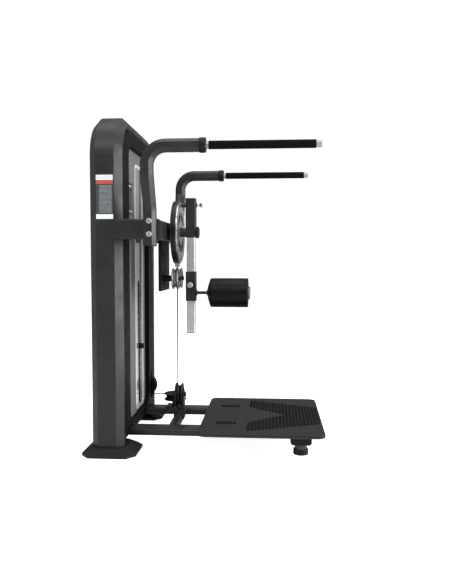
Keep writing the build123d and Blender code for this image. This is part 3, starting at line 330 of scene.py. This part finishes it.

# ---- Feet, bumpers and caps: moulded rubber and nylon -------------------------------
# Tower shoes and levelling pads are matt black rubber with a pebbled skin; the levelling
# columns above the pads are grey zinc, their flutes painted as stripes of grey and painted
# shade. Tube caps, collars, liners and the black pulleys are moulded nylon.
rubber = finish("moulded_rubber", (0.006, 0.006, 0.006), 0.6, Specular_IOR_Level=0.25)
link(rubber, spread(rubber, noise(rubber, 40.0), 0.5, 0.72), shader_of(rubber).inputs["Roughness"])
bump(rubber, noise(rubber, 650.0, 2.0), 0.00015)
dress(rubber, "tower_feet", "stack_bumpers")

PAD_TOP = 0.026           # the rubber pad's upper edge, above the floor
FLUTE_SCALE = 35.0
levelling = finish("levelling_foot", (0.012, 0.012, 0.012), 0.5, Specular_IOR_Level=0.2)
levelling_height = node(levelling, "SeparateXYZ")
link(levelling, place_on(levelling), levelling_height.inputs["Vector"])
above_pad = spread(levelling, levelling_height.outputs["Z"], 0.0, 1.0, PAD_TOP - 0.0003,
                   PAD_TOP + 0.0001)
# The flutes are colour only: grey zinc stripes between near-black stripes of painted groove shade.
flute_shade_bands = node(levelling, "TexWave", wave_type="BANDS", bands_direction="X",
               Scale=FLUTE_SCALE)
link(levelling, place_on(levelling), flute_shade_bands.inputs["Vector"])
zinc_and_flute_shade = blend_colour(levelling, flute_shade_bands.outputs["Fac"], (0.004, 0.004, 0.0045),
                           (0.10, 0.10, 0.105))
link(levelling, blend_colour(levelling, above_pad, (0.003, 0.003, 0.003), zinc_and_flute_shade),
     shader_of(levelling).inputs["Base Color"])
dress(levelling, "near_levelling_foot", "far_levelling_foot")

nylon = finish("black_nylon", (0.004, 0.004, 0.0045), 0.5, Specular_IOR_Level=0.18)
link(nylon, spread(nylon, noise(nylon, 25.0), 0.44, 0.58), shader_of(nylon).inputs["Roughness"])
bump(nylon, noise(nylon, 1500.0, 2.0), 0.00003)
dress(nylon, "end_caps", "arm_tube_plug", "carriage_liners", "handle_collars", "pivot_cap",
      "selector_pin", "foot_pulley", "turn_pulley", "tower_pulley", "outer_top_pulley",
      "inner_top_pulley")

# ---- Plated and machined steel ------------------------------------------------------
# The arm tube, guide rods and handle bars are chrome plated over a lengthwise brushing.
# The shaft, stem, bearings and cable clamp are bare turned steel, the guide pulleys are
# rough cast, and the arm's bushes are sintered bronze.
chrome = finish("satin_chrome", (0.44, 0.44, 0.45), 0.36, 0.9)
link(chrome, spread(chrome, noise(chrome, 420.0, 2.0, (1, 1, 0.03)), 0.34, 0.44),
     shader_of(chrome).inputs["Roughness"])
link(chrome, blend_colour(chrome, spread(chrome, noise(chrome, 12.0), 0.0, 1.0),
                          (0.44, 0.44, 0.45), (0.53, 0.53, 0.54)),
     shader_of(chrome).inputs["Base Color"])
dress(chrome, "arm_tube", "guide_rods")
bar_chrome = finish("bar_chrome", (0.32, 0.32, 0.33), 0.4, 0.6)
link(bar_chrome, spread(bar_chrome, noise(bar_chrome, 420.0, 2.0, (0.03, 1, 1)), 0.38, 0.46),
     shader_of(bar_chrome).inputs["Roughness"])
dress(bar_chrome, "handle_bars")

steel = finish("turned_steel", (0.45, 0.45, 0.46), 0.34, 1.0)
link(steel, spread(steel, noise(steel, 500.0, 2.0), 0.26, 0.42),
     shader_of(steel).inputs["Roughness"])
dress(steel, "pivot_shaft", "selector_stem", "wheel_bearings", "cable_clamp")

cast = finish("cast_guide_wheel", (0.2, 0.2, 0.205), 0.42, 0.85)
cast_speckle = spread(cast, noise(cast, 260.0, 4.0), 0.0, 1.0, 0.42, 0.62)
link(cast, blend_colour(cast, cast_speckle, (0.06, 0.06, 0.062), (0.42, 0.42, 0.43)),
     shader_of(cast).inputs["Base Color"])
bump(cast, noise(cast, 300.0, 4.0), 0.0002)
dress(cast, "near_guide_pulley", "far_guide_pulley")

bronze = finish("sintered_bronze", (0.45, 0.3, 0.13), 0.4, 1.0)
link(bronze, blend_colour(bronze, spread(bronze, noise(bronze, 900.0), 0.0, 1.0),
                          (0.35, 0.23, 0.1), (0.5, 0.34, 0.16)),
     shader_of(bronze).inputs["Base Color"])
dress(bronze, "arm_bushes")

# ---- Drive wheel and index plate ----------------------------------------------------
# The wheel is black coated; the index plate on its face is machined, clear coated steel.
# Its colour is painted light: a bright reflection above, dark shade with speckled glints below.
wheel_coat = finish("wheel_powder_coat", (0.004, 0.004, 0.0045), 0.36, Specular_IOR_Level=0.3)
# Paler along the wheel's sharp edges.
wheel_pale_edges = blend_colour(wheel_coat, edge_wear_and_highlight(wheel_coat, 0.0015), (0.004, 0.004, 0.0045),
                          (0.03, 0.03, 0.032))
link(wheel_coat, wheel_pale_edges, shader_of(wheel_coat).inputs["Base Color"])
link(wheel_coat, spread(wheel_coat, noise(wheel_coat, 16.0), 0.3, 0.44),
     shader_of(wheel_coat).inputs["Roughness"])
dress(wheel_coat, "drive_wheel")
plate_steel = finish("machined_index_plate", (0.4, 0.4, 0.41), 0.24, 0.9)
plate_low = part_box("index_plate")[0][2]
PAINTED_SHADE_BELOW = 0.08       # above the plate's lowest point: painted dark shade, speckled with painted glints, up to here,
PAINTED_REFLECTION_ABOVE = 0.20       # and a bright painted reflection from here up
# The plate's colour is painted light: a shaded, speckled lower part fading into a bright painted
# reflection above.
plate_place = node(plate_steel, "SeparateXYZ")
link(plate_steel, place_on(plate_steel), plate_place.inputs["Vector"])
plate_lower_painted_shade = spread(plate_steel, plate_place.outputs["Z"], 0.55, 0.0,
                    plate_low + PAINTED_SHADE_BELOW, plate_low + PAINTED_REFLECTION_ABOVE)
plate_shade_and_glints = node(plate_steel, "Math", operation="MULTIPLY")
link(plate_steel, plate_lower_painted_shade, plate_shade_and_glints.inputs[0])
link(plate_steel, spread(plate_steel, noise(plate_steel, 210.0, 4.0), 0.3, 1.7),
     plate_shade_and_glints.inputs[1])
link(plate_steel, blend_colour(plate_steel, plate_shade_and_glints.outputs[0], (0.55, 0.55, 0.56),
                               (0.03, 0.03, 0.031)), shader_of(plate_steel).inputs["Base Color"])
link(plate_steel, spread(plate_steel, noise(plate_steel, 240.0, 5.0), 0.16, 0.36),
     shader_of(plate_steel).inputs["Roughness"])
bump(plate_steel, noise(plate_steel, 180.0, 4.0), 0.00025)
dress(plate_steel, "index_plate")

# ---- Weight plates ------------------------------------------------------------------
# Sixteen flat steel plates and a head plate, painted satin black. Use has rubbed the
# paint of their edges pale.
plate_coat = finish("weight_plate_coat", (0.014, 0.014, 0.015), 0.4)
plate_worn = blend_colour(plate_coat, edge_wear_and_highlight(plate_coat, 0.002), (0.014, 0.014, 0.015),
                          (0.2, 0.2, 0.2))
link(plate_coat, plate_worn, shader_of(plate_coat).inputs["Base Color"])
dress(plate_coat, "resting_plates", "lifted_plates", "head_plate")

# ---- Cable --------------------------------------------------------------------------
# A coated wire rope: the coat shows the lay of the strands as faint slanting ridges.
# The run over the stack and the run to the wheel are straight upright tubes, each filling
# its CAD node's box.
LAY_SCALE = 90.0
rope = finish("coated_rope", (0.035, 0.035, 0.036), 0.5, Specular_IOR_Level=0.3)
lay = node(rope, "TexWave", wave_type="BANDS", bands_direction="DIAGONAL", Scale=LAY_SCALE)
link(rope, place_on(rope), lay.inputs["Vector"])
bump(rope, lay.outputs["Fac"], 0.0002)
dress(rope, "frame_cable")


def tube_along(points, radius, around=20):
    """A round tube along a straight upright line of points, closed by a centre point at
    each end: each ring is the centre plus radius times (cos, sin)."""
    points = np.asarray(points, float)
    turn = np.linspace(0, 2 * np.pi, around, endpoint=False)
    ring = np.stack([np.cos(turn), np.sin(turn), 0 * turn], -1) * radius
    body = points[:, None, :] + ring[None]
    first = np.repeat(points[:1, None, :], around, 1)
    last = np.repeat(points[-1:, None, :], around, 1)
    return np.concatenate([first, body, last])


def upright_cable(name, node_name, steps):
    """A straight upright run of cable that fills its CAD node's box."""
    low, high = (np.array(c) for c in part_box(node_name))
    middle = (low + high) / 2
    heights = np.linspace(low[2], high[2], steps)
    line = np.stack([np.full(steps, middle[0]), np.full(steps, middle[1]), heights], -1)
    return grid_piece(name, tube_along(line, (high[0] - low[0]) / 2), closed_v=True)


lift_run = upright_cable("lift_run", "lift_cable", 40)
lift_run.data.materials.append(rope)
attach(lift_run, "frame")
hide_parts("lift_cable")
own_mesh(lift_run)

wheel_run = upright_cable("wheel_run", "wheel_cable", 30)
wheel_run.data.materials.append(rope)
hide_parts("wheel_cable")
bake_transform(wheel_run)

# ---- Standing platform --------------------------------------------------------------
# A rubber mat with a satin skin lies on the steel plate. Raised anti-slip ribs run
# across it in a wide V that opens towards the tower and closes at the free end.
mat = finish("mat_rubber_skin", (0.011, 0.011, 0.012), 0.6, Specular_IOR_Level=0.25)
link(mat, blend_colour(mat, spread(mat, noise(mat, 7.0), 0.0, 1.0), (0.009, 0.009, 0.0095),
                       (0.0115, 0.0115, 0.012)), shader_of(mat).inputs["Base Color"])
link(mat, spread(mat, noise(mat, 30.0), 0.55, 0.6), shader_of(mat).inputs["Roughness"])
bump(mat, noise(mat, 800.0, 2.0), 0.0001)
dress(mat, "platform_mat")

mat_low, mat_high = (np.array(c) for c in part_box("platform_mat"))
RIB_PITCH = 0.0165
RIB_HALF_WIDTH = 0.0072
RIB_HEIGHT = 0.0016
RIB_SUNK = 0.0002         # how deep a rib's foot lies in the mat
V_START = 0.225           # the wide V, from the mat's near-tower edge
V_END_GAP = 0.006         # and from its free edge
V_OUTER = (0.300, 0.135)  # half width of the V's outside at its start, and what it loses
V_INNER = (0.153, 0.29)   # the same for its inside
V_MIDDLE_GAP = 0.002
BLOCK_FROM, BLOCK_TO = 0.075, 0.160       # two small blocks of ribs near the tower
BLOCK_SIDE = (0.15, 0.19)


def rib_bars(spans, top):
    """Low bars across the mat. Each span is (x, y from, y to); a bar's section is a
    four-sided trapezium, and its ends are closed."""
    spans = np.asarray(spans, float)
    section = np.array([[-1.0, 0], [-0.6, 1], [0.6, 1], [1.0, 0]])
    points, faces = [], []
    for end in (1, 2):
        x = spans[:, :1] + section[None, :, 0] * RIB_HALF_WIDTH
        y = np.repeat(spans[:, end:end + 1], 4, 1)
        z = top - RIB_SUNK + section[None, :, 1] * (RIB_HEIGHT + RIB_SUNK) + 0 * x
        points.append(np.stack([x, y, z], -1))
    grid = np.concatenate(points, axis=1).reshape(-1, 3)
    one_bar = [(0, 1, 5, 4), (1, 2, 6, 5), (2, 3, 7, 6), (3, 0, 4, 7), (3, 2, 1, 0), (4, 5, 6, 7)]
    base = 8 * np.arange(len(spans))[:, None]
    for face in one_bar:
        faces += (base + np.array(face)).tolist()
    return grid, faces


rib_x = np.arange(mat_low[0] + V_START, mat_high[0] - V_END_GAP, RIB_PITCH)
reach = (rib_x - rib_x[0]) / (rib_x[-1] - rib_x[0])
outer = V_OUTER[0] - V_OUTER[1] * reach
inner = np.maximum(V_INNER[0] - V_INNER[1] * reach, V_MIDDLE_GAP)
rib_spans = [s for x, a, b in zip(rib_x, inner, outer) for s in ((x, a, b), (x, -b, -a))]
block_x = np.arange(mat_low[0] + BLOCK_FROM, mat_low[0] + BLOCK_TO, RIB_PITCH)
near_side, far_side = BLOCK_SIDE
rib_spans += [s for x in block_x for s in ((x, near_side, far_side), (x, -far_side, -near_side))]
rib_points, rib_faces = rib_bars(rib_spans, mat_high[2])
ribs = mesh_piece("mat_ribs", rib_points, rib_faces, smooth=False)
rib_skin = finish("mat_rib_skin", (0.003, 0.003, 0.0033), 0.75, Specular_IOR_Level=0.08)
link(rib_skin, spread(rib_skin, noise(rib_skin, 60.0), 0.62, 0.8),
     shader_of(rib_skin).inputs["Roughness"])
fit_piece(ribs, rib_skin, "frame", "mat_rubber")

# ---- Hand grips ---------------------------------------------------------------------
# Black foam rubber sleeves, pushed on over the plated bars. Their skin is dull and
# smooth, with slightly uneven gloss.
grip = finish("grip_rubber_skin", (0.003, 0.003, 0.0032), 0.8, Specular_IOR_Level=0.06)
link(grip, spread(grip, noise(grip, 30.0), 0.74, 0.86), shader_of(grip).inputs["Roughness"])
dress(grip, "handle_grips")

# ---- Roller pad ---------------------------------------------------------------------
# A foam cylinder in black grained vinyl: a sewn seam near each end, a gathered cone on
# the arm's side and a tight round edge on the free side. Grey caps close its core.
pad_low, pad_high = (np.array(c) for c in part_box("roller_pad"))
pad_middle = (pad_low + pad_high) / 2
pad_radius = (pad_high[2] - pad_low[2]) / 2
pad_length = pad_high[0] - pad_low[0]
PAD_AROUND = 144
SEAM_FROM_ENDS = (0.024, 0.012)
SEAM_HALF_WIDTH = 0.0015
SEAM_DEPTH = 0.0005
PUCKERS = 26              # gathers round the cone
PUCKER_DEPTH = 0.0004
PUCKER_PLACE, PUCKER_REACH = 0.013, 0.006
SLACK_WAVES, SLACK_DEPTH = 9, 0.0002


def roller_profile(steps=200):
    """(distance along, radius) down the roller: a short cone up from the core, a long
    straight body with a pulled-in seam near each end, a tight round edge at the free end.

    The outline runs straight between its corners, which a running mean then rounds off.
    """
    length, full = pad_length, pad_radius
    corners = np.array([(0, 0.42 * full), (0.0015, 0.5 * full), (0.0125, 0.955 * full),
                        (0.0175, full), (length - 0.003, full), (length - 0.0008, full - 0.002),
                        (length, full - 0.005), (length, 0.42 * full)])
    gone = np.concatenate([[0], np.cumsum(np.hypot(*np.diff(corners, axis=0).T))])
    at = np.linspace(0, gone[-1], steps)
    along, radius = np.interp(at, gone, corners[:, 0]), np.interp(at, gone, corners[:, 1])
    window = np.ones(5) / 5
    along[2:-2], radius[2:-2] = (np.convolve(v, window, "valid") for v in (along, radius))
    seam_places = (SEAM_FROM_ENDS[0], length - SEAM_FROM_ENDS[1])
    seams = sum(np.exp(-((along - seam) / SEAM_HALF_WIDTH) ** 2) for seam in seam_places)
    return pad_low[0] + along, radius - SEAM_DEPTH * seams


pad_x, pad_r = roller_profile()
pad_turn = np.linspace(0, 2 * np.pi, PAD_AROUND, endpoint=False)
pucker = np.exp(-((pad_x[:, None] - pad_low[0] - PUCKER_PLACE) / PUCKER_REACH) ** 2)
pucker = PUCKER_DEPTH * pucker * np.sin(PUCKERS * pad_turn)[None, :]
slack_along = np.sin(np.pi * (pad_x - pad_low[0])[:, None] / pad_length)
slack = SLACK_DEPTH * np.sin(SLACK_WAVES * pad_turn)[None, :] * slack_along
pad_ring = pad_r[:, None] - PUCKER_DEPTH + pucker + slack
pad_grid = np.stack([np.repeat(pad_x[:, None], PAD_AROUND, 1),
                     pad_middle[1] + pad_ring * np.cos(pad_turn),
                     pad_middle[2] + pad_ring * np.sin(pad_turn)], -1)
pad_ends = [np.repeat(np.array([[[x, pad_middle[1], pad_middle[2]]]]), PAD_AROUND, 1)
            for x in (pad_low[0] + 0.0005, pad_high[0] - 0.0005)]
pad_grid = np.concatenate([pad_ends[0], pad_grid, pad_ends[1]])
roller = grid_piece("roller_cover", pad_grid, closed_v=True)
vinyl = finish("grained_vinyl", (0.0025, 0.0025, 0.0027), 0.42, 0.0, Specular_IOR_Level=0.12)
pebble = node(vinyl, "TexVoronoi", feature="SMOOTH_F1", Scale=420.0)
link(vinyl, place_on(vinyl), pebble.inputs["Vector"])
bump(vinyl, pebble.outputs["Distance"], 0.00008)
bump(vinyl, noise(vinyl, 25.0, 2.0), 0.0002)
link(vinyl, spread(vinyl, noise(vinyl, 22.0), 0.36, 0.5), shader_of(vinyl).inputs["Roughness"])
fit_piece(roller, vinyl, "roller", "roller_vinyl", "roller_pad")

grey_nylon = finish("grey_core_nylon", (0.1, 0.1, 0.105), 0.4)
link(grey_nylon, spread(grey_nylon, noise(grey_nylon, 30.0), 0.34, 0.48),
     shader_of(grey_nylon).inputs["Roughness"])
dress(grey_nylon, "roller_core_ends")

# ---- Clamp knob, index pin and handle bolts -----------------------------------------
# Turned from bar and zinc plated: a satin grey with fine uneven gloss. The knob clamps
# the carriage, the pin sits in the arm's boss and the bolts hold the handle tubes.
satin_zinc = finish("satin_zinc", (0.42, 0.42, 0.43), 0.3, 0.9)
link(satin_zinc, spread(satin_zinc, noise(satin_zinc, 300.0), 0.24, 0.38),
     shader_of(satin_zinc).inputs["Roughness"])
dress(satin_zinc, "clamp_knob", "handle_bolts", "index_pin")

# ---- Instruction plate --------------------------------------------------------------
# A thin printed plate stuck on the near leg: a pale head and foot, a coloured line and
# rows of plain grey bars. It carries no words.
leg_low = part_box("tower_frame")[0]
PLATE_X = (-0.4655, -0.3905)
PLATE_Z = (1.0455, 1.2415)
ROW_PITCH = 0.0026        # the plate's plain grey bars
ROW_HALF = 0.0011
TEXT_X, TEXT_Z = (-0.452, -0.396), (1.074, 1.192)
HEAD_BAR_Z, FOOT_BAR_Z = (1.2155, 1.2375), (1.0475, 1.0675)
COLOUR_BAR_Z = (1.199, 1.214)
HEAD_ROWS_Z = (1.219, 1.234)


def flat_plate(name, first, second, corner, place, thickness, steps=8):
    """A thin plate with round corners: its outline is a rounded rectangle in two
    coordinates, and place turns (a, b, depth) into a point in the row's frame."""
    turn = np.linspace(0, np.pi / 2, steps)
    left, right = first[0] + corner, second[0] - corner
    under, over = first[1] + corner, second[1] - corner
    centres = [(right, over, 0), (left, over, 1), (left, under, 2), (right, under, 3)]
    a = np.concatenate([c[0] + corner * np.cos(turn + c[2] * np.pi / 2) for c in centres])
    b = np.concatenate([c[1] + corner * np.sin(turn + c[2] * np.pi / 2) for c in centres])
    middle = ((first[0] + second[0]) / 2, (first[1] + second[1]) / 2)
    rows = []
    for size, depth in ((0.0, 0.0), (1.0, 0.0), (1.0, thickness * 0.7), (0.997, thickness),
                        (0.0, thickness)):
        rows.append(np.stack(place(middle[0] + (a - middle[0]) * size,
                                   middle[1] + (b - middle[1]) * size,
                                   np.full_like(a, depth)), -1))
    return grid_piece(name, np.array(rows), closed_v=True, smooth=False)


instruction = flat_plate("instruction_plate", (PLATE_X[0], PLATE_Z[0]), (PLATE_X[1], PLATE_Z[1]),
                         0.004, lambda a, b, d: (a, leg_low[1] - d, b), 0.0006)
print_ink = finish("instruction_print", (0.03, 0.035, 0.04), 0.3, 0.0, Coat_Weight=0.4,
                   Coat_Roughness=0.15)
ink_place = node(print_ink, "SeparateXYZ")
link(print_ink, place_on(print_ink), ink_place.inputs["Vector"])


def band(material, value, low, high):
    """1 where value lies between low and high, else 0."""
    middle, half = (low + high) / 2, (high - low) / 2
    made = node(material, "Math", operation="COMPARE")
    link(material, value, made.inputs[0])
    made.inputs[1].default_value = middle
    made.inputs[2].default_value = half
    return made.outputs["Value"]


def times(material, first, second):
    """The product of two values."""
    made = node(material, "Math", operation="MULTIPLY")
    link(material, first, made.inputs[0])
    link(material, second, made.inputs[1])
    return made.outputs["Value"]


ink_x, ink_z = ink_place.outputs["X"], ink_place.outputs["Z"]
row_wave = node(print_ink, "Math", operation="PINGPONG")
link(print_ink, ink_z, row_wave.inputs[0])
row_wave.inputs[1].default_value = ROW_PITCH
row_ragged = spread(print_ink, noise(print_ink, 60.0, 1.0, (3, 1, 6)), 0.0, 1.0, 0.38, 0.45)
text_rows = times(print_ink, band(print_ink, row_wave.outputs[0], 0.0, ROW_HALF),
                  times(print_ink, row_ragged, band(print_ink, ink_x, *TEXT_X)))
text_rows = times(print_ink, text_rows, band(print_ink, ink_z, *TEXT_Z))
ink = blend_colour(print_ink, text_rows, (0.035, 0.045, 0.05), (0.28, 0.30, 0.31))
ink = blend_colour(print_ink, band(print_ink, ink_z, *FOOT_BAR_Z), ink, (0.8, 0.8, 0.81))
ink = blend_colour(print_ink, band(print_ink, ink_z, *COLOUR_BAR_Z), ink, (0.5, 0.05, 0.04))
ink = blend_colour(print_ink, band(print_ink, ink_z, *HEAD_BAR_Z), ink, (0.78, 0.79, 0.81))
head_rows = times(print_ink, band(print_ink, row_wave.outputs[0], 0.0, ROW_HALF),
                  times(print_ink, row_ragged, band(print_ink, ink_z, *HEAD_ROWS_Z)))
ink = blend_colour(print_ink, head_rows, ink, (0.35, 0.38, 0.42))
link(print_ink, ink, shader_of(print_ink).inputs["Base Color"])
fit_piece(instruction, print_ink, "frame", "black_plastic")

# ---- Exercise card ------------------------------------------------------------------
# A thin dark glossy plate in the cover's recess. A pale bar, a dim panel and a grey bar
# are printed on it, and no words.
card_x = cover_front_x - RECESS_DEPTH
CARD_HEAD_Y, CARD_HEAD_Z = (-0.135, -0.075), (1.218, 1.226)
CARD_PANEL_Y, CARD_PANEL_Z = (-0.13, -0.062), (1.135, 1.195)
CARD_FOOT_Y, CARD_FOOT_Z = (-0.135, -0.06), (1.098, 1.106)
card = flat_plate("exercise_card", (-0.146, 1.084), (-0.047, 1.239), 0.006,
                  lambda a, b, d: (card_x + d, a, b), 0.001)
card_ink = finish("exercise_card_print", (0.008, 0.008, 0.01), 0.18)
card_place = node(card_ink, "SeparateXYZ")
link(card_ink, place_on(card_ink), card_place.inputs["Vector"])
card_y, card_z = card_place.outputs["Y"], card_place.outputs["Z"]
card_tone = (0.008, 0.008, 0.01)
for bar_y, bar_z, tone in ((CARD_HEAD_Y, CARD_HEAD_Z, (0.55, 0.55, 0.56)),
                           (CARD_PANEL_Y, CARD_PANEL_Z, (0.045, 0.03, 0.03)),
                           (CARD_FOOT_Y, CARD_FOOT_Z, (0.3, 0.3, 0.31))):
    on_bar = times(card_ink, band(card_ink, card_z, *bar_z), band(card_ink, card_y, *bar_y))
    card_tone = blend_colour(card_ink, on_bar, card_tone, tone)
link(card_ink, card_tone, shader_of(card_ink).inputs["Base Color"])
fit_piece(card, card_ink, "frame", "black_plastic")
